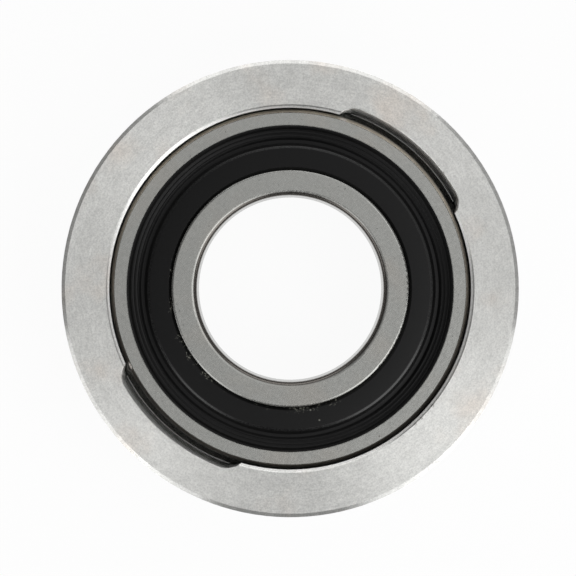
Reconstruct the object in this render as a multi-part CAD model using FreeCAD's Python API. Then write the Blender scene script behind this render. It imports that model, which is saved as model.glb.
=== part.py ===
"""Gimbal bearing: a sealed ball bearing whose round outside swivels in a slotted steel carrier.

Millimetres. The origin is the swivel centre, +Z is the shaft axis and points out of the slotted front,
and the two loading slots lie on the X axis. One STEP file is written for each piece.
"""

import FreeCAD
import Part

import math
import os

# Races: the two rings of the ball bearing
bore_diameter = 35.0
track_wall = 3.14375
ring_width = 23.0
bore_corner_radius = 1.05
outside_corner_radius = 0.45
sphere_edge_chamfer = 0.15
inner_ring_face_width = 4.8
outer_ring_face_width = 2.4

# Balls and their tracks
ball_count = 9
ball_diameter = 11.1125
track_conformity = 0.52
track_play = 0.05
land_step_depth = 3.6
land_step_slope = 0.5

# Seal seats in the outer ring, measured inwards from its face
seal_mouth_depth = 1.3
seal_groove_width = 1.4
seal_groove_depth = 0.5
mouth_edge_chamfer = 0.12

# Seals
seal_fit = 0.02
lip_gap = 0.06
seal_thickness = 2.1
edge_trough_width = 0.62
rib_count = 3
rib_pitch = 0.72
rib_rise = 0.37
rib_step_down = 0.14
rib_valley_depth = 0.16
rib_crest_radius = 0.15
middle_trough_width = 1.0
middle_trough_depth = 0.85
disc_rise = 0.15
disc_edge_radius = 0.5
lip_notch_depth = 0.5
lip_width = 0.3

# Riveted ball cage
cage_thickness = 1.0
cage_width = 4.6
cage_side_gap = 0.8
pocket_play = 0.12
rivet_diameter = 1.6
rivet_hole_play = 0.02
rivet_head_diameter = 2.8
rivet_head_height = 0.6

# Carrier
seat_play = 0.05
carrier_width = 25.0
carrier_wall = 7.8
seat_lip = 1.1
mouth_chamfer_width = 0.6
mouth_chamfer_height = 0.45
rim_chamfer_width = 0.7
rim_chamfer_height = 0.5

# Loading slots in the carrier's front
slot_floor_room = 0.35
slot_mouth_room = 0.9
slot_corner_radius = 4.2
slot_side_room = 0.25
slot_edge_break = 0.15

# Grease path behind the slots: rim groove, holes, seat groove and holes in the outer ring
grease_offset = 6.0
rim_groove_width = 4.0
rim_groove_depth = 1.2
seat_groove_width = 2.4
seat_groove_depth = 0.6
carrier_hole_diameter = 3.0
race_hole_diameter = 1.8

# Radii and heights that follow from the sizes above
bore_r = bore_diameter / 2
ball_r = ball_diameter / 2
half_ring = ring_width / 2
half_carrier = carrier_width / 2
inner_track_r = bore_r + track_wall
pitch_r = inner_track_r + track_play + ball_r
outer_track_r = pitch_r + ball_r + track_play
sphere_r = outer_track_r + track_wall
cage_in_r = pitch_r - cage_width / 2
cage_out_r = pitch_r + cage_width / 2
inner_shoulder_r = cage_in_r - cage_side_gap
outer_shoulder_r = cage_out_r + cage_side_gap
track_groove_r = track_conformity * ball_diameter
land_r = bore_r + inner_ring_face_width
sphere_face_r = math.sqrt(sphere_r**2 - half_ring**2)
seal_mouth_r = sphere_face_r - outer_ring_face_width
seal_groove_r = seal_mouth_r + seal_groove_depth
seat_r = sphere_r + seat_play
mouth_r = seat_r - seat_lip
rim_r = seat_r + carrier_wall
seat_edge_z = math.sqrt(seat_r**2 - mouth_r**2)

ORIGIN = FreeCAD.Vector(0, 0, 0)
UP = FreeCAD.Vector(0, 0, 1)
OUT_FOLDER = "parts"
HALF_TURN = 180.0
FULL_TURN = 360.0
TOOL_OVERRUN = 1.0


def at(r, z):
    """A point of an outline, by its radius and its height."""
    return FreeCAD.Vector(r, 0, z)


class Outline:
    """A closed outline in the plane of radius and height, drawn edge by edge."""

    def __init__(self, r, z):
        self.first = at(r, z)
        self.last = self.first
        self.edges = []

    def line(self, r, z):
        self.edges.append(Part.LineSegment(self.last, at(r, z)).toShape())
        self.last = at(r, z)
        return self

    def arc(self, middle, end):
        self.edges.append(Part.Arc(self.last, at(*middle), at(*end)).toShape())
        self.last = at(*end)
        return self

    def face(self):
        if self.last.distanceToPoint(self.first) > 1e-9:
            self.edges.append(Part.LineSegment(self.last, self.first).toShape())
        return Part.Face(Part.Wire(Part.__sortEdges__(self.edges)))

    def turned(self, angle=FULL_TURN):
        return self.face().revolve(ORIGIN, UP, angle)


def polygon_ring(corners):
    """A ring turned from straight-sided corners, each a radius and a height."""
    outline = Outline(*corners[0])
    for corner in corners[1:]:
        outline.line(*corner)
    return outline.turned()


def flat_ring(inner, outer, low, high):
    """A plain ring between two radii and two heights."""
    return polygon_ring([(inner, low), (outer, low), (outer, high), (inner, high)])


def rounded_ring(corners):
    """A ring turned from corners that each give a radius, a height and the rounding there."""
    points = [FreeCAD.Vector(r, 0, z) for r, z, rounding in corners]
    outline = None
    for i, (r, z, rounding) in enumerate(corners):
        before = points[i - 1] - points[i]
        after = points[(i + 1) % len(points)] - points[i]
        if rounding > 0:
            half_angle = before.getAngle(after) / 2
            shortest = min(before.Length, after.Length) * 0.49
            reach = min(rounding / math.tan(half_angle), shortest)
            radius = reach * math.tan(half_angle)
            bisector = before.normalize() + after.normalize()
            bisector.normalize()
            to_arc = radius / math.sin(half_angle) - radius
            start = points[i] + before * reach
            middle = points[i] + bisector * to_arc
            end = points[i] + after * reach
        else:
            start = middle = end = points[i]
        if outline is None:
            outline = Outline(start.x, start.z)
        elif outline.last.distanceToPoint(start) > 1e-9:
            outline.line(start.x, start.z)
        if rounding > 0:
            outline.arc((middle.x, middle.z), (end.x, end.z))
    return outline.turned()


def mirrored(shape):
    """The same piece on the other side of the middle plane."""
    return shape.mirror(ORIGIN, UP)


def turned_about_axis(shape, degrees):
    copy = shape.copy()
    copy.rotate(ORIGIN, UP, degrees)
    return copy


def round_the_axis(shape, count):
    """Copies of a shape, evenly spaced about the shaft axis."""
    return [turned_about_axis(shape, FULL_TURN * i / count) for i in range(count)]


def radial_hole(diameter, start_r, end_r, height, azimuth):
    """A drill that runs outwards from one radius to another."""
    drill = Part.makeCylinder(
        diameter / 2, end_r - start_r, at(start_r, height), FreeCAD.Vector(1, 0, 0)
    )
    return turned_about_axis(drill, azimuth)


def grease_drills(diameter, start_r, end_r):
    """Two opposite drills, square to the loading slots."""
    return [radial_hole(diameter, start_r, end_r, -grease_offset, side * 90) for side in (-1, 1)]


def make_inner_race():
    """Bored ring with the inner ball track, stepped down at both ends for the seal lips."""
    corner = bore_corner_radius
    rim = outside_corner_radius
    inset = 1 - math.sqrt(0.5)
    track_half = math.sqrt(
        track_groove_r**2 - (inner_track_r + track_groove_r - inner_shoulder_r) ** 2
    )
    step_z = half_ring - land_step_depth
    outline = Outline(bore_r, -half_ring + corner)
    outline.line(bore_r, half_ring - corner)
    outline.arc(
        (bore_r + corner * inset, half_ring - corner * inset), (bore_r + corner, half_ring)
    )
    outline.line(land_r - rim, half_ring)
    outline.arc((land_r - rim * inset, half_ring - rim * inset), (land_r, half_ring - rim))
    outline.line(land_r, step_z)
    outline.line(inner_shoulder_r, step_z - land_step_slope)
    outline.line(inner_shoulder_r, track_half)
    outline.arc((inner_track_r, 0), (inner_shoulder_r, -track_half))
    outline.line(inner_shoulder_r, -step_z + land_step_slope)
    outline.line(land_r, -step_z)
    outline.line(land_r, -half_ring + rim)
    outline.arc((land_r - rim * inset, -half_ring + rim * inset), (land_r - rim, -half_ring))
    outline.line(bore_r + corner, -half_ring)
    outline.arc(
        (bore_r + corner * inset, -half_ring + corner * inset), (bore_r, -half_ring + corner)
    )
    return outline.turned()


def make_outer_race():
    """Ring with a spherical outside, the outer ball track and a snap groove for each seal."""
    edge = sphere_edge_chamfer
    lip = mouth_edge_chamfer
    edge_z = half_ring - edge
    edge_r = math.sqrt(sphere_r**2 - edge_z**2)
    groove_top = half_ring - seal_mouth_depth
    groove_foot = groove_top - seal_groove_width
    track_half = math.sqrt(
        track_groove_r**2 - (outer_track_r - track_groove_r - outer_shoulder_r) ** 2
    )
    outline = Outline(edge_r - edge, half_ring)
    outline.line(edge_r, edge_z)
    outline.arc((sphere_r, 0), (edge_r, -edge_z))
    outline.line(edge_r - edge, -half_ring)
    outline.line(seal_mouth_r + lip, -half_ring)
    outline.line(seal_mouth_r, -half_ring + lip)
    outline.line(seal_mouth_r, -groove_top)
    outline.line(seal_groove_r, -groove_top)
    outline.line(seal_groove_r, -groove_foot)
    outline.line(outer_shoulder_r, -groove_foot)
    outline.line(outer_shoulder_r, -track_half)
    outline.arc((outer_track_r, 0), (outer_shoulder_r, track_half))
    outline.line(outer_shoulder_r, groove_foot)
    outline.line(seal_groove_r, groove_foot)
    outline.line(seal_groove_r, groove_top)
    outline.line(seal_mouth_r, groove_top)
    outline.line(seal_mouth_r, half_ring - lip)
    outline.line(seal_mouth_r + lip, half_ring)
    drills = grease_drills(race_hole_diameter, pitch_r, sphere_r + TOOL_OVERRUN)
    return outline.turned().cut(drills)


def make_seal():
    """Front seal: a bead in the snap groove, ribs, a trough, a flat disc and two lips."""
    bead_top = half_ring - seal_mouth_depth - seal_fit
    bead_foot = bead_top - seal_groove_width + 2 * seal_fit
    bead_r = seal_groove_r - seal_fit
    neck_r = seal_mouth_r - seal_fit
    body_r = min(outer_shoulder_r - seal_fit, neck_r)
    trough_r = neck_r - edge_trough_width
    crest_z = bead_top + rib_rise
    trough_floor = crest_z - middle_trough_depth
    top = crest_z + disc_rise
    foot = top - seal_thickness
    lip_r = land_r + lip_gap
    notch_r = lip_r + lip_notch_depth
    corners = [(bead_r, bead_top, 0), (trough_r, bead_top, 0)]
    for i in range(rib_count):
        crest_r = trough_r - rib_pitch * (i + 0.25)
        corners.append((crest_r, crest_z - i * rib_step_down, rib_crest_radius))
        foot_z = crest_z - i * rib_step_down - rib_valley_depth
        corners.append((crest_r - rib_pitch / 2, foot_z, 0))
    rib_in_r = corners[-1][0]
    corners += [
        (rib_in_r, trough_floor, 0),
        (rib_in_r - middle_trough_width, trough_floor, 0),
        (rib_in_r - middle_trough_width, top, disc_edge_radius),
        (notch_r, top, 0),
        (lip_r, top - lip_width, 0),
        (lip_r, top - 2 * lip_width, 0),
        (notch_r, top - 3 * lip_width, 0),
        (notch_r, foot + 2 * lip_width, 0),
        (lip_r, foot + lip_width, 0),
        (lip_r, foot, 0),
        (body_r, foot, 0),
        (body_r, bead_foot, 0),
        (bead_r, bead_foot, 0),
    ]
    return rounded_ring(corners)


def ball_place():
    return at(pitch_r, 0)


def make_balls():
    """The balls, the first of them on the X axis."""
    return round_the_axis(Part.makeSphere(ball_r, ball_place()), ball_count)


def make_cage_half():
    """Front half: a pressed ribbon with a round pocket over each ball and flat webs between."""
    pocket_r = ball_r + pocket_play
    shell_r = pocket_r + cage_thickness
    webs = flat_ring(cage_in_r, cage_out_r, 0, cage_thickness)
    domes = round_the_axis(Part.makeSphere(shell_r, ball_place()), ball_count)
    pockets = round_the_axis(Part.makeSphere(pocket_r, ball_place()), ball_count)
    band = flat_ring(cage_in_r, cage_out_r, 0, shell_r + TOOL_OVERRUN)
    bore = rivet_diameter / 2 + rivet_hole_play
    drill = Part.makeCylinder(bore, cage_thickness * 2, at(pitch_r, -cage_thickness / 2))
    drills = round_the_axis(turned_about_axis(drill, HALF_TURN / ball_count), ball_count)
    return webs.fuse(domes).common(band).cut(pockets + drills)


def make_rivets():
    """One rivet through each pair of webs, with a domed head on both sides."""
    shank = rivet_diameter / 2
    head = rivet_head_diameter / 2
    seat = cage_thickness
    crown = seat + rivet_head_height
    swell = ((head**2 + rivet_head_height**2) / (2 * rivet_head_height)) - rivet_head_height
    ball = swell + rivet_head_height
    lean = math.atan2(head, swell) / 2
    shoulder = (ball * math.sin(lean), seat - swell + ball * math.cos(lean))
    outline = Outline(0, -crown)
    outline.arc((shoulder[0], -shoulder[1]), (head, -seat))
    outline.line(shank, -seat)
    outline.line(shank, seat)
    outline.line(head, seat)
    outline.arc(shoulder, (0, crown))
    rivet = outline.turned()
    rivet.translate(at(pitch_r, 0))
    return round_the_axis(turned_about_axis(rivet, HALF_TURN / ball_count), ball_count)


def slot_cutter():
    """The tool for one loading slot: it tapers towards its floor and has rounded ends."""
    floor_r = seat_r + slot_floor_room
    top_r = seat_r + slot_mouth_room
    slope = (top_r - floor_r) / half_carrier
    height = half_carrier + TOOL_OVERRUN
    half_width = half_ring + slot_corner_radius + slot_side_room
    half_angle = math.degrees(math.asin(half_width / top_r))
    inside_r = mouth_r - slot_corner_radius
    outline = Outline(inside_r, 0)
    outline.line(floor_r, 0).line(floor_r + slope * height, height).line(inside_r, height)
    cutter = turned_about_axis(outline.turned(2 * half_angle), -half_angle)
    corners = [edge for edge in cutter.Edges if is_slot_corner(edge, floor_r, height)]
    return cutter.makeFillet(slot_corner_radius, corners)


def is_slot_corner(edge, floor_r, height):
    """True for the two upright edges at the far ends of the slot cutter's outer wall."""
    ends = [vertex.Point for vertex in edge.Vertexes]
    rises = len(ends) == 2 and abs(ends[0].z - ends[1].z) > height / 2
    return rises and all(math.hypot(p.x, p.y) > floor_r - 1e-6 for p in ends)


def make_carrier():
    """Steel ring with the spherical seat, two loading slots in front and the grease path."""
    rim_edge_z = half_carrier - rim_chamfer_height
    mouth_edge_z = half_carrier - mouth_chamfer_height
    face_out_r = rim_r - rim_chamfer_width
    face_in_r = mouth_r + mouth_chamfer_width
    outline = Outline(face_out_r, half_carrier)
    outline.line(rim_r, rim_edge_z)
    outline.line(rim_r, -rim_edge_z)
    outline.line(face_out_r, -half_carrier)
    outline.line(face_in_r, -half_carrier)
    outline.line(mouth_r, -mouth_edge_z)
    outline.line(mouth_r, -seat_edge_z)
    outline.arc((seat_r, 0), (mouth_r, seat_edge_z))
    outline.line(mouth_r, mouth_edge_z)
    outline.line(face_in_r, half_carrier)
    slots = round_the_axis(slot_cutter(), 2)
    seat_there = math.sqrt(seat_r**2 - grease_offset**2)
    seat_groove = flat_ring(
        pitch_r,
        seat_there + seat_groove_depth,
        -grease_offset - seat_groove_width / 2,
        -grease_offset + seat_groove_width / 2,
    )
    rim_groove = flat_ring(
        rim_r - rim_groove_depth,
        rim_r + TOOL_OVERRUN,
        -grease_offset - rim_groove_width / 2,
        -grease_offset + rim_groove_width / 2,
    )
    drills = grease_drills(carrier_hole_diameter, pitch_r, rim_r + TOOL_OVERRUN)
    carrier = outline.turned().cut(slots + [seat_groove, rim_groove] + drills)
    return carrier.makeChamfer(slot_edge_break, slot_edges(carrier, (face_in_r, face_out_r)))


def slot_edges(carrier, ring_radii):
    """The edges in the carrier's front face that the slots made, not the two full rings' own."""
    front = [edge for edge in carrier.Edges if edge.BoundBox.ZMin > half_carrier - 1e-6]
    return [edge for edge in front if not any(lies_on(edge, radius) for radius in ring_radii)]


def lies_on(edge, radius):
    """True if an edge runs round the axis at that radius."""
    middle = edge.valueAt((edge.FirstParameter + edge.LastParameter) / 2)
    points = [vertex.Point for vertex in edge.Vertexes] + [middle]
    return all(abs(math.hypot(p.x, p.y) - radius) < 1e-6 for p in points)


def make_pieces():
    """Every piece by the name of its node."""
    seal = make_seal()
    cage_half = make_cage_half()
    pieces = {
        "carrier": make_carrier(),
        "outer_race": make_outer_race(),
        "inner_race": make_inner_race(),
        "front_seal": seal,
        "back_seal": mirrored(seal),
        "front_cage_half": cage_half,
        "back_cage_half": mirrored(cage_half),
    }
    for number, ball in enumerate(make_balls(), 1):
        pieces[f"ball_{number}"] = ball
    for number, rivet in enumerate(make_rivets(), 1):
        pieces[f"cage_rivet_{number}"] = rivet
    return pieces


def main():
    os.makedirs(OUT_FOLDER, exist_ok=True)
    for name, shape in make_pieces().items():
        solids = shape.Solids
        if len(solids) != 1 or not shape.isValid():
            raise ValueError(f"{name} has {len(solids)} solids, valid: {shape.isValid()}")
        solids[0].exportStep(os.path.join(OUT_FOLDER, name + ".step"))
        print(f"{name}: {solids[0].Volume:.1f} mm3, {len(solids[0].Faces)} faces")


main()
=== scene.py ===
"""Dresses the gimbal bearing: moulded seals, steel finishes, floor, light and camera."""

import math

import bmesh
import bpy
from bpy.props import FloatProperty, FloatVectorProperty, IntProperty, PointerProperty
from mathutils import Matrix, Vector


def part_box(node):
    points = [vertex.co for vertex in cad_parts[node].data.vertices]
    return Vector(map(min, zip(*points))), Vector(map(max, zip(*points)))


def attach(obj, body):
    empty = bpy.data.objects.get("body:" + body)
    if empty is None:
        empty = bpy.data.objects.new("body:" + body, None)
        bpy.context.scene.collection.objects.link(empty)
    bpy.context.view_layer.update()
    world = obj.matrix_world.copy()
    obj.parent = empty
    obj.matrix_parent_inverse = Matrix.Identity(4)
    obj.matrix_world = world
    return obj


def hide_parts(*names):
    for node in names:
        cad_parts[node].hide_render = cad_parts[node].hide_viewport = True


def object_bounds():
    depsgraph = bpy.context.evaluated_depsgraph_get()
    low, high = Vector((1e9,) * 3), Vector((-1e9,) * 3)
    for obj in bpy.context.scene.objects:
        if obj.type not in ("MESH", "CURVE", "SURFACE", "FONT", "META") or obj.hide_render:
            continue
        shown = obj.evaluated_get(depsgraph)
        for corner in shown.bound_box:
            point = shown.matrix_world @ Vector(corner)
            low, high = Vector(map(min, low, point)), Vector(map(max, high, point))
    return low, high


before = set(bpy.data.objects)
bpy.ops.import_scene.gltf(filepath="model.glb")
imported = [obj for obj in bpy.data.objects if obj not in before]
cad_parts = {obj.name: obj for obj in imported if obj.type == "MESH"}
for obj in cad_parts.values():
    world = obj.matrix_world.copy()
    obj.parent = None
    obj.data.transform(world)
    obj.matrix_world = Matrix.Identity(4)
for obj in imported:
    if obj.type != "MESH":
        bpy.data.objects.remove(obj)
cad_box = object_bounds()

bl_info = {
    "name": "Gimbal bearing",
    "version": (1, 0, 0),
    "blender": (4, 5, 0),
    "location": "3D View > Sidebar > Bearing",
    "description": "Moulds the seals and finishes the steel of a gimbal bearing",
    "category": "Mesh",
}

MM = 0.001
# The turn from the picture's right to the line through the loading slots.
ACROSS_SLOTS = math.radians(-49.4)
PICTURE_PX_PER_MM = 5.34


def steel_colour(name, description, default):
    return FloatVectorProperty(
        name=name, description=description, default=default, subtype="COLOR", size=3, min=0, max=1
    )


def length(name, description, default):
    return FloatProperty(name=name, description=description, default=default, unit="LENGTH", min=0)


class BearingSealSizes(bpy.types.PropertyGroup):
    """Sizes of a moulded seal, which fits between the two races."""

    disc_edge: length("Disc edge", "Radius where the flat disc starts to fall away", 26.35 * MM)
    valley: length("Valley", "Radius of the deepest point between disc and ribs", 27.95 * MM)
    first_rib: length("First rib", "Radius of the innermost rib's crest", 28.5 * MM)
    rib_spacing: length("Rib spacing", "Distance between the crests of two ribs", 0.68 * MM)
    rib_height: length("Rib height", "Height of a rib's crest above its foot", 0.12 * MM)
    steps: IntProperty(name="Steps", description="Steps round a turned piece", default=288, min=32)


class BearingFinishes(bpy.types.PropertyGroup):
    """Colours of the bearing's finishes."""

    carrier: steel_colour("Carrier steel", "Turned and satin ground steel", (0.69, 0.69, 0.67))
    race: steel_colour("Race steel", "Fine ground bearing steel", (0.354, 0.356, 0.34))
    warm_carrier: steel_colour("Warm carrier", "Faint warm cast of the carrier", (0.71, 0.67, 0.625))
    warm_race: steel_colour("Warm race", "Faint warm cast of the races", (0.366, 0.357, 0.334))
    # Warm colour of an oil film on the sphere's ends; made brighter towards one side, it is also a
    # painted reflection.
    film_and_painted_reflection: steel_colour("Oil film and painted reflection", "Film of oil near the sphere's ends, brightened by a painted reflection", (0.42, 0.38, 0.32))
    # Pale colour painted on the sphere at the two slots' ends: a painted highlight.
    glint_paint: steel_colour("Painted glint", "Pale painted glint on the sphere", (0.95, 0.89, 0.84))
    # Dark brown painted into the bore's corner fillet as painted shade; also the colour of a pit on
    # a race's face.
    scale: steel_colour("Fillet shade and pit", "Painted shade in the bore's corner fillet, also the pit's colour", (0.14, 0.13, 0.12))
    rubber: steel_colour("Seal rubber", "Matt black nitrile rubber", (0.0014, 0.0014, 0.0015))
    grease: steel_colour("Dried grease", "Grease specks beside the inner ring", (0.2, 0.2, 0.17))
    ball: steel_colour("Ball steel", "Polished balls", (0.62, 0.62, 0.62))
    cage: steel_colour("Cage steel", "Pressed sheet of the ball cage", (0.42, 0.41, 0.39))


class BearingStudio(bpy.types.PropertyGroup):
    """Sizes and levels of the floor, the light and the camera."""

    camera_height: length("Camera height", "Height of the camera above the front face", 0.9)
    carrier_share: FloatProperty(
        name="Carrier share", description="Width of the carrier in the picture's width",
        default=0.7943, subtype="FACTOR", min=0.1, max=1,
    )
    floor_radius: length("Floor radius", "Radius of the round floor", 2.0)
    backdrop_height: length("Backdrop height", "Height of the white wall round the floor", 0.3)
    lamp_distance: length("Lamp distance", "Distance of the softboxes from the bearing", 0.45)
    side_light: FloatProperty(
        name="Side light", description="Level of the softbox at each lower side", default=2.0, min=0
    )
    lower_left_share: FloatProperty(
        name="Lower left share", description="Share of the side light from the lower left",
        default=0.75, subtype="FACTOR", min=0, max=1,
    )
    right_share: FloatProperty(
        name="Right share", description="Share of the side light from the right",
        default=0.5, subtype="FACTOR", min=0, max=1,
    )
    strip_light: FloatProperty(
        name="Strip light", description="Level of the low strips round the bearing",
        default=1.6, min=0,
    )


class Finish:
    """One material, built node by node."""

    def __init__(self, name):
        self.material = bpy.data.materials.new(name)
        self.material.use_nodes = True
        self.tree = self.material.node_tree
        self.shader = self.tree.nodes["Principled BSDF"]
        self.place = self.add("ShaderNodeTexCoord").outputs["Object"]

    def add(self, kind, **settings):
        node = self.tree.nodes.new(kind)
        for name, value in settings.items():
            setattr(node, name, value)
        return node

    def feed(self, socket, value):
        if isinstance(value, bpy.types.NodeSocket):
            self.tree.links.new(value, socket)
        else:
            socket.default_value = value

    def sum(self, kind, *values, clamp=False):
        """A Math node's result."""
        node = self.add("ShaderNodeMath", operation=kind, use_clamp=clamp)
        for socket, value in zip(node.inputs, values):
            self.feed(socket, value)
        return node.outputs[0]

    def point(self, kind, *values):
        """A Vector Math node's vector."""
        node = self.add("ShaderNodeVectorMath", operation=kind)
        for socket, value in zip(node.inputs, values):
            self.feed(socket, value)
        return node.outputs[0]

    def measure(self, kind, a, b):
        """A Vector Math node's number, such as a distance."""
        node = self.add("ShaderNodeVectorMath", operation=kind)
        self.feed(node.inputs[0], a)
        self.feed(node.inputs[1], b)
        return node.outputs["Value"]

    def spots(self, places, inner, outer, strength):
        """A mask of round spots, strong up to the inner distance and gone at the outer."""
        mask = 0.0
        for place in places:
            near = self.measure("DISTANCE", self.place, tuple(place))
            mask = self.sum("MAXIMUM", mask, self.ramp(near, inner, outer, strength, 0.0))
        return mask

    def ramp(self, value, low, high, to_low=0.0, to_high=1.0):
        """A value eased from one range into another."""
        node = self.add("ShaderNodeMapRange", interpolation_type="SMOOTHSTEP")
        for socket, number in zip(node.inputs, (value, low, high, to_low, to_high)):
            self.feed(socket, number)
        return node.outputs[0]

    def noise(self, place, scale, detail=2.0, roughness=0.5):
        node = self.add("ShaderNodeTexNoise")
        self.feed(node.inputs["Vector"], place)
        self.feed(node.inputs["Scale"], scale)
        self.feed(node.inputs["Detail"], detail)
        self.feed(node.inputs["Roughness"], roughness)
        return node.outputs["Fac"]

    def blend(self, share, a, b, kind="MIX"):
        node = self.add("ShaderNodeMix", data_type="RGBA", blend_type=kind)
        self.feed(node.inputs["Factor"], share)
        self.feed(node.inputs["A"], a)
        self.feed(node.inputs["B"], b)
        return node.outputs["Result"]

    def shade(self, colour, level):
        """A colour made darker or lighter by a level about 1."""
        grey = self.add("ShaderNodeCombineColor")
        for socket in grey.inputs:
            self.feed(socket, level)
        return self.blend(1.0, colour, grey.outputs[0], "MULTIPLY")

    def round_place(self, stretch):
        """Place as (radius, way round, height): lines that run round a turned face stay lines."""
        parts = self.add("ShaderNodeSeparateXYZ")
        self.feed(parts.inputs[0], self.place)
        x, y, z = parts.outputs
        squares = self.sum("ADD", self.sum("MULTIPLY", x, x), self.sum("MULTIPLY", y, y))
        radius = self.sum("SQRT", squares)
        unit = self.add("ShaderNodeVectorMath", operation="NORMALIZE")
        flat = self.add("ShaderNodeCombineXYZ")
        self.feed(flat.inputs[0], x)
        self.feed(flat.inputs[1], y)
        self.feed(unit.inputs[0], flat.outputs[0])
        way = self.point("MULTIPLY", unit.outputs[0], (stretch, stretch, 0.0))
        # Not 1, so that a chamfer at half a right angle gets lines too.
        height_share = 1.37
        depth = self.add("ShaderNodeCombineXYZ")
        self.feed(depth.inputs[2], self.sum("ADD", radius, self.sum("MULTIPLY", z, height_share)))
        self.radius = radius
        self.height = z
        return self.point("ADD", way, depth.outputs[0])

    def brushed_round(self, share):
        """Makes the gloss spread across the lines that run round the bore."""
        lines = self.add("ShaderNodeTangent", direction_type="RADIAL", axis="Z")
        self.feed(self.shader.inputs["Tangent"], lines.outputs[0])
        self.shader.inputs["Anisotropic"].default_value = share
        self.shader.inputs["Anisotropic Rotation"].default_value = 0.25

    def relief(self, height, strength, depth):
        node = self.add("ShaderNodeBump")
        self.feed(node.inputs["Strength"], strength)
        self.feed(node.inputs["Distance"], depth)
        self.feed(node.inputs["Height"], height)
        self.feed(self.shader.inputs["Normal"], node.outputs[0])

    def done(self, colour, roughness, metallic):
        self.feed(self.shader.inputs["Base Color"], colour)
        self.feed(self.shader.inputs["Roughness"], roughness)
        self.feed(self.shader.inputs["Metallic"], metallic)
        return self.material


def opaque(colour):
    return (*colour, 1.0)


def picture_place(across_px, up_px, z_mm):
    """The point of a face that the picture shows that far from the bearing's centre."""
    turn = Matrix.Rotation(ACROSS_SLOTS, 3, "Z")
    flat = Vector((across_px / PICTURE_PX_PER_MM, up_px / PICTURE_PX_PER_MM, 0)) * MM
    return turn @ flat + Vector((0, 0, z_mm * MM))


def carrier_finish(colours):
    """Turned steel, satin ground, with fine rings, warm patches and a few handling marks."""
    steel = Finish("carrier_turned_steel")
    along = steel.round_place(0.012)
    rings = steel.noise(along, 2600.0, 3.0, 0.6)
    coarse_rings = steel.noise(along, 500.0, 2.0)
    grain = steel.noise(steel.place, 3800.0, 3.0, 0.7)
    patches = steel.noise(steel.place, 90.0, 3.0)
    clouds = steel.noise(steel.place, 320.0, 4.0, 0.65)
    level = steel.sum("ADD", steel.ramp(rings, 0.25, 0.75, 0.9, 1.05),
                      steel.ramp(grain, 0.3, 0.7, -0.15, 0.15))
    level = steel.sum("MULTIPLY", level, steel.ramp(coarse_rings, 0.3, 0.7, 0.97, 1.03))
    level = steel.sum("MULTIPLY", level, steel.ramp(clouds, 0.3, 0.7, 0.97, 1.03))
    tint = steel.blend(steel.ramp(patches, 0.5, 0.75), opaque(colours.carrier),
                       opaque(colours.warm_carrier))
    from_middle = steel.sum("ABSOLUTE", steel.height)
    on_face = steel.ramp(from_middle, 12.44 * MM, 12.49 * MM)
    in_slot = steel.sum("MULTIPLY", steel.ramp(steel.radius, 37.0 * MM, 37.4 * MM, 1.0, 0.0),
                        steel.ramp(from_middle, 12.25 * MM, 12.35 * MM, 1.0, 0.0))
    from_centre = steel.measure("DISTANCE", steel.place, (0.0, 0.0, 0.0))
    in_slot = steel.sum("MULTIPLY", in_slot, steel.ramp(from_centre, 35.1 * MM, 35.25 * MM))
    depth_and_reach = steel.add("ShaderNodeCombineXYZ")
    steel.feed(depth_and_reach.inputs[0], steel.radius)
    steel.feed(depth_and_reach.inputs[2], steel.sum("MULTIPLY", steel.height, 0.4))
    tool_lines = steel.noise(depth_and_reach.outputs[0], 2600.0, 3.0, 0.6)
    cuts = steel.ramp(tool_lines, 0.43, 0.57, 0.25, 1.5)
    in_cuts = steel.sum("MULTIPLY", in_slot, steel.sum("SUBTRACT", cuts, 1.0))
    level = steel.sum("MULTIPLY", level, steel.sum("ADD", 1.0, in_cuts))
    colour = steel.shade(tint, level)
    front_face = 12.4
    marks = [(153.6, 116.6, 1.0), (142.3, -117.1, 1.2), (131.4, -129.8, 0.9),
             (125.4, -135.8, 0.9), (102.6, 167.0, 0.5), (116.0, 157.4, 0.5)]
    worn = 0.0
    for across, up, reach in marks:
        mark = picture_place(across, up, front_face)
        spot = steel.spots([mark], 0.1 * reach * MM, 0.4 * reach * MM, 1.0)
        worn = steel.sum("MAXIMUM", worn, spot)
    scratched = steel.sum("MULTIPLY", worn, steel.ramp(grain, 0.42, 0.56, 0.0, 1.0))
    dark_mark = (0.09, 0.07, 0.06, 1.0)
    colour = steel.blend(scratched, colour, dark_mark)
    ground = steel.sum("MULTIPLY", on_face, steel.ramp(grain, 0.3, 0.7, 0.16, 0.24))
    rough = steel.sum("ADD", 0.28, ground)
    rough = steel.sum("ADD", rough, steel.sum("MULTIPLY", in_slot, 0.2))
    height = steel.sum("ADD", rings, steel.sum("MULTIPLY", grain, 0.6))
    steel.relief(height, 0.2, 0.02 * MM)
    steel.brushed_round(0.75)
    return steel.done(colour, rough, 1.0)


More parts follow.
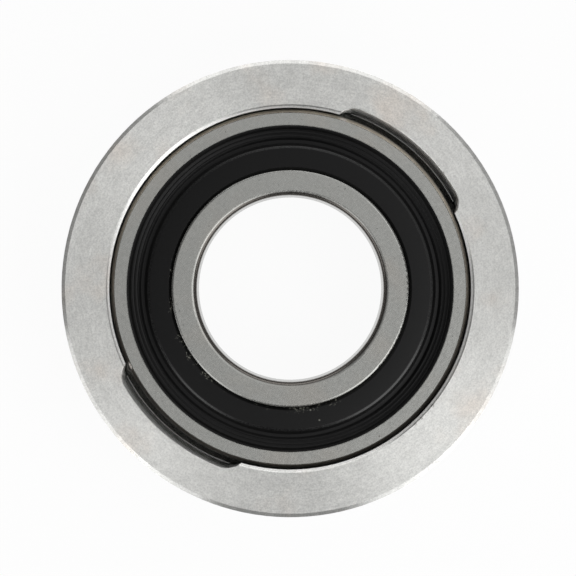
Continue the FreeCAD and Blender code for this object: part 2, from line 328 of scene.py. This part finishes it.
def race_finish(colours):
    """Ground bearing steel: fine strokes across the face, finer rings on what is turned. It carries
    painted shade in the bore's corner fillet, a painted reflection on the sphere's ends and two
    painted glints.
    """
    steel = Finish("race_ground_steel")
    along = steel.round_place(0.012)
    rings = steel.noise(along, 3200.0, 3.0, 0.6)
    strokes = steel.noise(steel.point("MULTIPLY", steel.place, (0.4, 1.8, 1.0)), 2600.0, 3.0, 0.65)
    crossing = steel.noise(steel.point("MULTIPLY", steel.place, (1.8, 0.4, 1.0)), 2400.0, 3.0, 0.65)
    specks = steel.noise(steel.place, 1500.0, 1.0)
    patches = steel.noise(steel.place, 120.0, 2.0)
    level = steel.sum("ADD", steel.ramp(strokes, 0.3, 0.7, 0.93, 1.03),
                      steel.ramp(crossing, 0.3, 0.7, -0.05, 0.05))
    level = steel.sum("MULTIPLY", level, steel.ramp(rings, 0.3, 0.7, 0.96, 1.03))
    level = steel.sum("MULTIPLY", level, steel.ramp(specks, 0.2, 0.27, 0.55, 1.0))
    tint = steel.blend(steel.ramp(patches, 0.45, 0.75), opaque(colours.race),
                       opaque(colours.warm_race))
    from_middle = steel.sum("ABSOLUTE", steel.height)
    # Painted shade: the bore's corner fillet is coloured dark brown.
    scale = steel.sum("MULTIPLY", steel.ramp(steel.radius, 18.05 * MM, 18.3 * MM, 1.0, 0.0),
                      steel.ramp(from_middle, 10.3 * MM, 10.5 * MM))
    colour = steel.blend(scale, steel.shade(tint, level), opaque(colours.scale))
    on_sphere = steel.sum("MULTIPLY", steel.ramp(steel.radius, 32.98 * MM, 33.04 * MM),
                          steel.ramp(from_middle, 11.36 * MM, 11.44 * MM, 1.0, 0.0))
    # An oil film on the sphere's ends, partly a real film and partly a painted reflection: its
    # colour is made up to ten times brighter towards one side.
    film_and_reflection_band = steel.sum("MULTIPLY", on_sphere, steel.ramp(from_middle, 9.0 * MM, 10.4 * MM))
    towards_painted_reflection = steel.measure("DOT_PRODUCT", steel.place, tuple(studio_way(85, 0)))
    painted_reflection_level = steel.sum("MULTIPLY", steel.ramp(patches, 0.3, 0.7, 0.85, 1.15),
                           steel.ramp(towards_painted_reflection, -22.0 * MM, 30.0 * MM, 0.2, 2.0))
    colour = steel.blend(film_and_reflection_band, colour, steel.shade(opaque(colours.film_and_painted_reflection), painted_reflection_level))
    # Two pale spots at the slots' ends: a painted highlight of the slot walls' glint, with less
    # metal there.
    painted_glint_mask = steel.spots([picture_place(53.0, 168.5, 10.7), picture_place(-160.5, -77.5, 10.7)],
                        0.5 * MM, 0.95 * MM, 1.0)
    painted_glint_mask = steel.sum("MULTIPLY", painted_glint_mask, on_sphere)
    colour = steel.blend(painted_glint_mask, colour, opaque(colours.glint_paint))
    race_face = 11.5
    pit = steel.spots([picture_place(89.35, -147.9, race_face)], 0.08 * MM, 0.22 * MM, 0.8)
    colour = steel.blend(pit, colour, opaque(colours.scale))
    rough = steel.sum("ADD", steel.ramp(strokes, 0.3, 0.7, 0.2, 0.32),
                      steel.sum("MULTIPLY", film_and_reflection_band, 0.3))
    steel.relief(steel.sum("ADD", strokes, crossing), 0.15, 0.01 * MM)
    # Where the glint is painted, the steel is not metal.
    outside_painted_glints = steel.sum("SUBTRACT", 1.0, painted_glint_mask)
    metal = steel.sum("MULTIPLY", outside_painted_glints, steel.ramp(film_and_reflection_band, 0.0, 1.0, 1.0, 0.35))
    return steel.done(colour, rough, metal)


def rubber_finish(colours):
    """Matt black rubber with mould texture and dried grease beside the inner ring."""
    rubber = Finish("seal_nitrile_rubber")
    along = rubber.round_place(0.02)
    skin = rubber.noise(rubber.place, 2400.0, 4.0, 0.6)
    rings = rubber.noise(along, 1500.0, 2.0)
    blobs = rubber.noise(rubber.place, 2200.0, 3.0, 0.75)
    clumps = rubber.noise(rubber.place, 260.0, 2.0)
    low_side = rubber.measure("DOT_PRODUCT", rubber.place, tuple(studio_way(240, 0)))
    near_lip = rubber.sum("MULTIPLY", rubber.ramp(rubber.radius, 22.6 * MM, 24.2 * MM, 1.0, 0.0),
                          rubber.ramp(low_side, -4.0 * MM, 14.0 * MM))
    more_there = rubber.sum("MULTIPLY", near_lip, rubber.ramp(clumps, 0.35, 0.7, 0.08, 0.28))
    least = rubber.sum("SUBTRACT", 0.78, more_there)
    over = rubber.sum("SUBTRACT", blobs, least)
    grease = rubber.sum("MULTIPLY", rubber.sum("MULTIPLY", over, 12.0, clamp=True), 0.9)
    colour = rubber.shade(opaque(colours.rubber), rubber.ramp(skin, 0.3, 0.7, 0.75, 1.35))
    colour = rubber.blend(grease, colour, opaque(colours.grease))
    ridge = 26.6 * MM
    from_ridge = rubber.sum("ABSOLUTE", rubber.sum("SUBTRACT", rubber.radius, ridge))
    rubbed = rubber.ramp(from_ridge, 0.05 * MM, 0.35 * MM, 1.0, 0.0)
    disc_face = 10.6
    specks = rubber.spots([picture_place(20.35, -121.6, disc_face),
                           picture_place(29.35, -131.9, disc_face)], 0.1 * MM, 0.25 * MM, 0.8)
    colour = rubber.blend(specks, colour, opaque(colours.grease))
    rough = rubber.sum("SUBTRACT", rubber.ramp(skin, 0.3, 0.7, 0.34, 0.46),
                       rubber.sum("MULTIPLY", rubbed, 0.14))
    height = rubber.sum("ADD", rubber.sum("MULTIPLY", skin, 0.6), rubber.sum("MULTIPLY", rings, 0.5))
    height = rubber.sum("ADD", height, rubber.sum("MULTIPLY", grease, 2.0))
    rubber.relief(height, 0.2, 0.03 * MM)
    rubber.feed(rubber.shader.inputs["Specular IOR Level"], rubber.ramp(rubbed, 0.0, 1.0, 0.2, 0.6))
    return rubber.done(colour, rough, 0.0)


def ball_finish(colours):
    """Polished steel under a thin film of grease."""
    steel = Finish("ball_polished_steel")
    film = steel.noise(steel.place, 400.0, 3.0)
    colour = steel.shade(opaque(colours.ball), steel.ramp(film, 0.3, 0.7, 0.93, 1.03))
    return steel.done(colour, steel.ramp(film, 0.35, 0.7, 0.05, 0.16), 1.0)


def cage_finish(colours):
    """Pressed sheet steel with rolling lines."""
    steel = Finish("cage_pressed_steel")
    rolled = steel.noise(steel.point("MULTIPLY", steel.place, (0.3, 3.0, 1.0)), 900.0, 3.0, 0.6)
    spots = steel.noise(steel.place, 700.0, 2.0)
    level = steel.sum("ADD", steel.ramp(rolled, 0.3, 0.7, 0.88, 1.04),
                      steel.ramp(spots, 0.3, 0.7, -0.06, 0.06))
    steel.relief(rolled, 0.2, 0.02 * MM)
    colour = steel.shade(opaque(colours.cage), level)
    return steel.done(colour, steel.ramp(spots, 0.3, 0.7, 0.3, 0.45), 1.0)


def finish_nodes(names, material):
    """Gives CAD nodes a finish without touching their shape."""
    for name in names:
        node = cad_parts[name]
        for slot in node.material_slots:
            slot.material = material


def numbered(stem):
    return sorted(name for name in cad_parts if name.startswith(stem))


def seal_corners(sizes):
    """The front seal's outline as radius, height and rounding, in metres."""
    low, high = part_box("front_seal")
    outer = high.x
    neck = 30.637 * MM
    bead_top = 10.18 * MM
    bead_foot = 8.82 * MM
    body = 29.33 * MM
    foot = low.z
    top = high.z
    crown = 0.28 * MM
    lip = 22.36 * MM
    notch = 22.86 * MM
    trough = 30.02 * MM
    lip_width = 0.3 * MM
    crest = bead_top + 0.37 * MM
    rib_foot = crest - sizes.rib_height
    half_rib = 0.17 * MM
    rib_drop = 0.14 * MM
    valley_floor = top - 1.0 * MM
    slope_foot = sizes.disc_edge + 1.0 * MM
    slope_middle = sizes.disc_edge + 0.45 * MM
    corners = [(body, bead_foot, 0.05), (outer, bead_foot, 0.14), (outer, bead_top, 0.14),
               (neck, bead_top, 0.05), (trough, bead_top - 0.1 * MM, 0.2)]
    for step in (2, 1, 0):
        at = sizes.first_rib + step * sizes.rib_spacing
        drop = (2 - step) * rib_drop
        corners += [(at + half_rib, rib_foot - drop, 0.1), (at, crest - drop, 0.12),
                    (at - half_rib, rib_foot - drop - 0.03 * MM, 0.1)]
    corners += [(sizes.valley, valley_floor, 0.15), (slope_foot, valley_floor + 0.05 * MM, 0.4),
                (slope_middle, top - crown - 0.2 * MM, 0.35), (sizes.disc_edge, top - crown, 0.4),
                (notch, top, 0.14), (lip, top - lip_width, 0.04), (lip, top - 2 * lip_width, 0.04),
                (notch, top - 3 * lip_width, 0.1), (notch, foot + 2 * lip_width, 0.1),
                (lip, foot + lip_width, 0.04), (lip, foot, 0.04), (body, foot, 0.14)]
    return [(r, z, rounding * MM) for r, z, rounding in corners]


def rounded(corners, steps=4):
    """Points of a closed outline with each corner rounded by an arc."""
    points = []
    count = len(corners)
    most_of_side = 0.45
    almost_straight = math.radians(85)
    for i, (r, z, radius) in enumerate(corners):
        here = Vector((r, z))
        before = Vector(corners[i - 1][:2]) - here
        after = Vector(corners[(i + 1) % count][:2]) - here
        half = before.angle(after) / 2
        reach = min(radius / math.tan(half), most_of_side * before.length,
                    most_of_side * after.length)
        if half > almost_straight:
            points.append(here)
            continue
        inwards = (before.normalized() + after.normalized()).normalized()
        middle = here + inwards * (reach / math.cos(half))
        start = here + before.normalized() * reach - middle
        turn = (math.pi - 2 * half) * (1 if start.cross(after) < 0 else -1)
        for k in range(steps + 1):
            spun = Matrix.Rotation(-turn * k / steps, 2) @ start
            points.append(middle + spun)
    return points


def turned_piece(name, outline, steps):
    """A ring spun about the bore from a closed outline of radius and height."""
    work = bmesh.new()
    verts = [work.verts.new((p.x, 0, p.y)) for p in outline]
    edges = [work.edges.new((verts[i - 1], verts[i])) for i in range(len(verts))]
    bmesh.ops.spin(work, geom=verts + edges, cent=(0, 0, 0), axis=(0, 0, 1), dvec=(0, 0, 0),
                   angle=math.tau, steps=steps, use_merge=True, use_duplicate=False)
    bmesh.ops.remove_doubles(work, verts=work.verts, dist=1e-7)
    bmesh.ops.recalc_face_normals(work, faces=work.faces)
    return finished_piece(name, work)


def finished_piece(name, work):
    mesh = bpy.data.meshes.new(name)
    work.to_mesh(mesh)
    work.free()
    mesh.shade_smooth()
    mesh.set_sharp_from_angle(angle=math.radians(40))
    piece = bpy.data.objects.new(name, mesh)
    bpy.context.scene.collection.objects.link(piece)
    return piece


class BEARING_OT_finish_carrier(bpy.types.Operator):
    """Gives the carrier its turned steel"""

    bl_idname = "bearing.finish_carrier"
    bl_label = "Finish carrier"

    def execute(self, context):
        finish_nodes(["carrier"], carrier_finish(context.scene.bearing_finishes))
        return {"FINISHED"}


class BEARING_OT_finish_races(bpy.types.Operator):
    """Gives both races their ground steel"""

    bl_idname = "bearing.finish_races"
    bl_label = "Finish races"

    def execute(self, context):
        finish_nodes(["outer_race", "inner_race"], race_finish(context.scene.bearing_finishes))
        return {"FINISHED"}


class BEARING_OT_mould_seals(bpy.types.Operator):
    """Moulds the two ribbed rubber seals"""

    bl_idname = "bearing.mould_seals"
    bl_label = "Mould seals"

    def execute(self, context):
        sizes = context.scene.bearing_seal
        outline = rounded(seal_corners(sizes))
        rubber = rubber_finish(context.scene.bearing_finishes)
        for side, node in ((1, "front_seal"), (-1, "back_seal")):
            mirrored = [Vector((p.x, side * p.y)) for p in outline]
            seal = turned_piece("moulded_" + node, mirrored, sizes.steps)
            seal.data.materials.append(rubber)
            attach(seal, "outer_ring")
            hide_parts(node)
        return {"FINISHED"}


class BEARING_OT_finish_balls(bpy.types.Operator):
    """Gives the balls their polish"""

    bl_idname = "bearing.finish_balls"
    bl_label = "Finish balls"

    def execute(self, context):
        finish_nodes(numbered("ball_"), ball_finish(context.scene.bearing_finishes))
        return {"FINISHED"}


class BEARING_OT_finish_cage(bpy.types.Operator):
    """Gives the cage halves and their rivets pressed steel"""

    bl_idname = "bearing.finish_cage"
    bl_label = "Finish cage"

    def execute(self, context):
        names = ["front_cage_half", "back_cage_half"] + numbered("cage_rivet_")
        finish_nodes(names, cage_finish(context.scene.bearing_finishes))
        return {"FINISHED"}


def floor_material():
    """White floor that keeps the bearing's shadow."""
    material = bpy.data.materials.new("white_floor")
    material.use_nodes = True
    tree = material.node_tree
    tree.nodes.clear()
    path = tree.nodes.new("ShaderNodeLightPath")
    seen = tree.nodes.new("ShaderNodeMath")
    seen.operation = "MAXIMUM"
    also = tree.nodes.new("ShaderNodeMath")
    also.operation = "MAXIMUM"
    share = tree.nodes.new("ShaderNodeMath")
    share.operation = "MULTIPLY"
    white_share = 0.94
    share.inputs[1].default_value = white_share
    matt = tree.nodes.new("ShaderNodeBsdfDiffuse")
    matt.inputs["Color"].default_value = (0.9, 0.9, 0.9, 1)
    white = tree.nodes.new("ShaderNodeEmission")
    mix = tree.nodes.new("ShaderNodeMixShader")
    out = tree.nodes.new("ShaderNodeOutputMaterial")
    tree.links.new(path.outputs["Is Camera Ray"], seen.inputs[0])
    tree.links.new(path.outputs["Is Glossy Ray"], seen.inputs[1])
    tree.links.new(seen.outputs[0], also.inputs[0])
    tree.links.new(path.outputs["Is Transmission Ray"], also.inputs[1])
    tree.links.new(also.outputs[0], share.inputs[0])
    tree.links.new(share.outputs[0], mix.inputs[0])
    tree.links.new(matt.outputs[0], mix.inputs[1])
    tree.links.new(white.outputs[0], mix.inputs[2])
    tree.links.new(mix.outputs[0], out.inputs[0])
    return material


def studio_world():
    """A dim room with a pale ceiling above the bearing, brightest a little to the upper right."""
    world = bpy.data.worlds.new("studio")
    bpy.context.scene.world = world
    world.use_nodes = True
    tree = world.node_tree
    tree.nodes.clear()
    way = tree.nodes.new("ShaderNodeTexCoord")
    nearness = tree.nodes.new("ShaderNodeVectorMath")
    nearness.operation = "DOT_PRODUCT"
    nearness.inputs[1].default_value = studio_way(45, 70)
    ramp = tree.nodes.new("ShaderNodeValToRGB")
    steps = [(0.0, 0.12), (0.14, 0.09), (0.5, 0.15), (0.77, 0.28), (0.87, 0.46), (0.93, 0.76),
             (0.97, 0.98)]
    elements = ramp.color_ramp.elements
    while len(elements) < len(steps):
        elements.new(0.5)
    for element, (place, level) in zip(elements, steps):
        element.position = place
        element.color = (level, level, level, 1)
    sky = tree.nodes.new("ShaderNodeBackground")
    out = tree.nodes.new("ShaderNodeOutputWorld")
    tree.links.new(way.outputs["Generated"], nearness.inputs[0])
    tree.links.new(nearness.outputs["Value"], ramp.inputs[0])
    tree.links.new(ramp.outputs[0], sky.inputs["Color"])
    tree.links.new(sky.outputs[0], out.inputs[0])


def studio_way(azimuth, elevation):
    """A direction in the studio, by its degrees round the picture and above the floor."""
    turn = math.radians(azimuth) + ACROSS_SLOTS
    lift = math.radians(elevation)
    level = math.cos(lift)
    return Vector((math.cos(turn) * level, math.sin(turn) * level, math.sin(lift)))


def softbox(name, azimuth, elevation, spread, level, shape="RECTANGLE"):
    """A lamp that looks at the bearing, placed by its direction in the picture. Its spread is the
    angle that it takes up across and upwards, its level is how bright it shows where 1 is white."""
    distance = bpy.context.scene.bearing_studio.lamp_distance
    width, height = (2 * distance * math.tan(math.radians(angle) / 2) for angle in spread)
    lamp = bpy.data.lights.new(name, "AREA")
    lamp.shape = shape
    lamp.size = width
    lamp.size_y = height
    lit_share = 1 if shape == "RECTANGLE" else math.pi / 4
    lamp.energy = level * math.pi * width * height * lit_share
    box = bpy.data.objects.new(name, lamp)
    box.location = studio_way(azimuth, elevation) * distance
    box.rotation_euler = box.location.to_track_quat("Z", "Y").to_euler()
    bpy.context.scene.collection.objects.link(box)
    return box


class BEARING_OT_set_stage(bpy.types.Operator):
    """Sets the floor, the light and the camera"""

    bl_idname = "bearing.set_stage"
    bl_label = "Set stage"

    def execute(self, context):
        scene = context.scene
        studio = scene.bearing_studio
        low, high = cad_box
        work = bmesh.new()
        place = Matrix.Translation((0, 0, low[2]))
        bmesh.ops.create_circle(work, cap_ends=True, segments=96, radius=studio.floor_radius,
                                matrix=place)
        rim = [edge for edge in work.edges if edge.is_boundary]
        wall = bmesh.ops.extrude_edge_only(work, edges=rim)["geom"]
        raised = [item for item in wall if isinstance(item, bmesh.types.BMVert)]
        bmesh.ops.translate(work, verts=raised, vec=(0, 0, studio.backdrop_height))
        floor = finished_piece("floor", work)
        floor.data.materials.append(floor_material())
        studio_world()
        lower_left = studio.side_light * studio.lower_left_share
        right = studio.side_light * studio.right_share
        softbox("softbox_lower_right", 315, 48, (34, 54), studio.side_light, "ELLIPSE")
        softbox("softbox_lower_left", 228, 48, (20, 54), lower_left, "ELLIPSE")
        softbox("softbox_right", 5, 62, (34, 22), right, "ELLIPSE")
        softbox("strip_lower_right", 319, 20, (58, 16), studio.strip_light)
        softbox("strip_lower_left", 220, 20, (54, 16), studio.strip_light)
        softbox("strip_upper", 87, 24, (68, 22), studio.strip_light)
        lens = bpy.data.cameras.new("camera")
        width = high[0] - low[0]
        lens.sensor_width = 36.0
        lens.lens = studio.carrier_share * lens.sensor_width * studio.camera_height / width
        lens.clip_start = 0.05
        lens.clip_end = 20
        camera = bpy.data.objects.new("camera", lens)
        aside = Matrix.Rotation(ACROSS_SLOTS, 3, "Z") @ Vector((-0.4, 0.11, 0)) * MM
        camera.location = aside + Vector((0, 0, high[2] + studio.camera_height))
        camera.rotation_euler = (0, 0, ACROSS_SLOTS)
        scene.collection.objects.link(camera)
        scene.camera = camera
        scene.view_settings.view_transform = "Standard"
        return {"FINISHED"}


class BEARING_PT_parts(bpy.types.Panel):
    """Lists the steps that dress the bearing"""

    bl_label = "Gimbal bearing"
    bl_space_type = "VIEW_3D"
    bl_region_type = "UI"
    bl_category = "Bearing"

    def draw(self, context):
        layout = self.layout
        scene = context.scene
        for group in (scene.bearing_seal, scene.bearing_finishes, scene.bearing_studio):
            box = layout.box()
            for name in group.__annotations__:
                box.prop(group, name)
        for step in STEPS:
            layout.operator(step.bl_idname)


GROUPS = (BearingSealSizes, BearingFinishes, BearingStudio)
STEPS = (BEARING_OT_finish_carrier, BEARING_OT_finish_races, BEARING_OT_mould_seals,
         BEARING_OT_finish_balls, BEARING_OT_finish_cage, BEARING_OT_set_stage)


def register():
    for kind in GROUPS + STEPS + (BEARING_PT_parts,):
        bpy.utils.register_class(kind)
    bpy.types.Scene.bearing_seal = PointerProperty(type=BearingSealSizes)
    bpy.types.Scene.bearing_finishes = PointerProperty(type=BearingFinishes)
    bpy.types.Scene.bearing_studio = PointerProperty(type=BearingStudio)


def unregister():
    del bpy.types.Scene.bearing_studio
    del bpy.types.Scene.bearing_finishes
    del bpy.types.Scene.bearing_seal
    for kind in reversed(GROUPS + STEPS + (BEARING_PT_parts,)):
        bpy.utils.unregister_class(kind)


def main():
    register()
    bpy.ops.bearing.finish_carrier()
    bpy.ops.bearing.finish_races()
    bpy.ops.bearing.mould_seals()
    bpy.ops.bearing.finish_balls()
    bpy.ops.bearing.finish_cage()
    bpy.ops.bearing.set_stage()


if __name__ == "__main__":
    main()
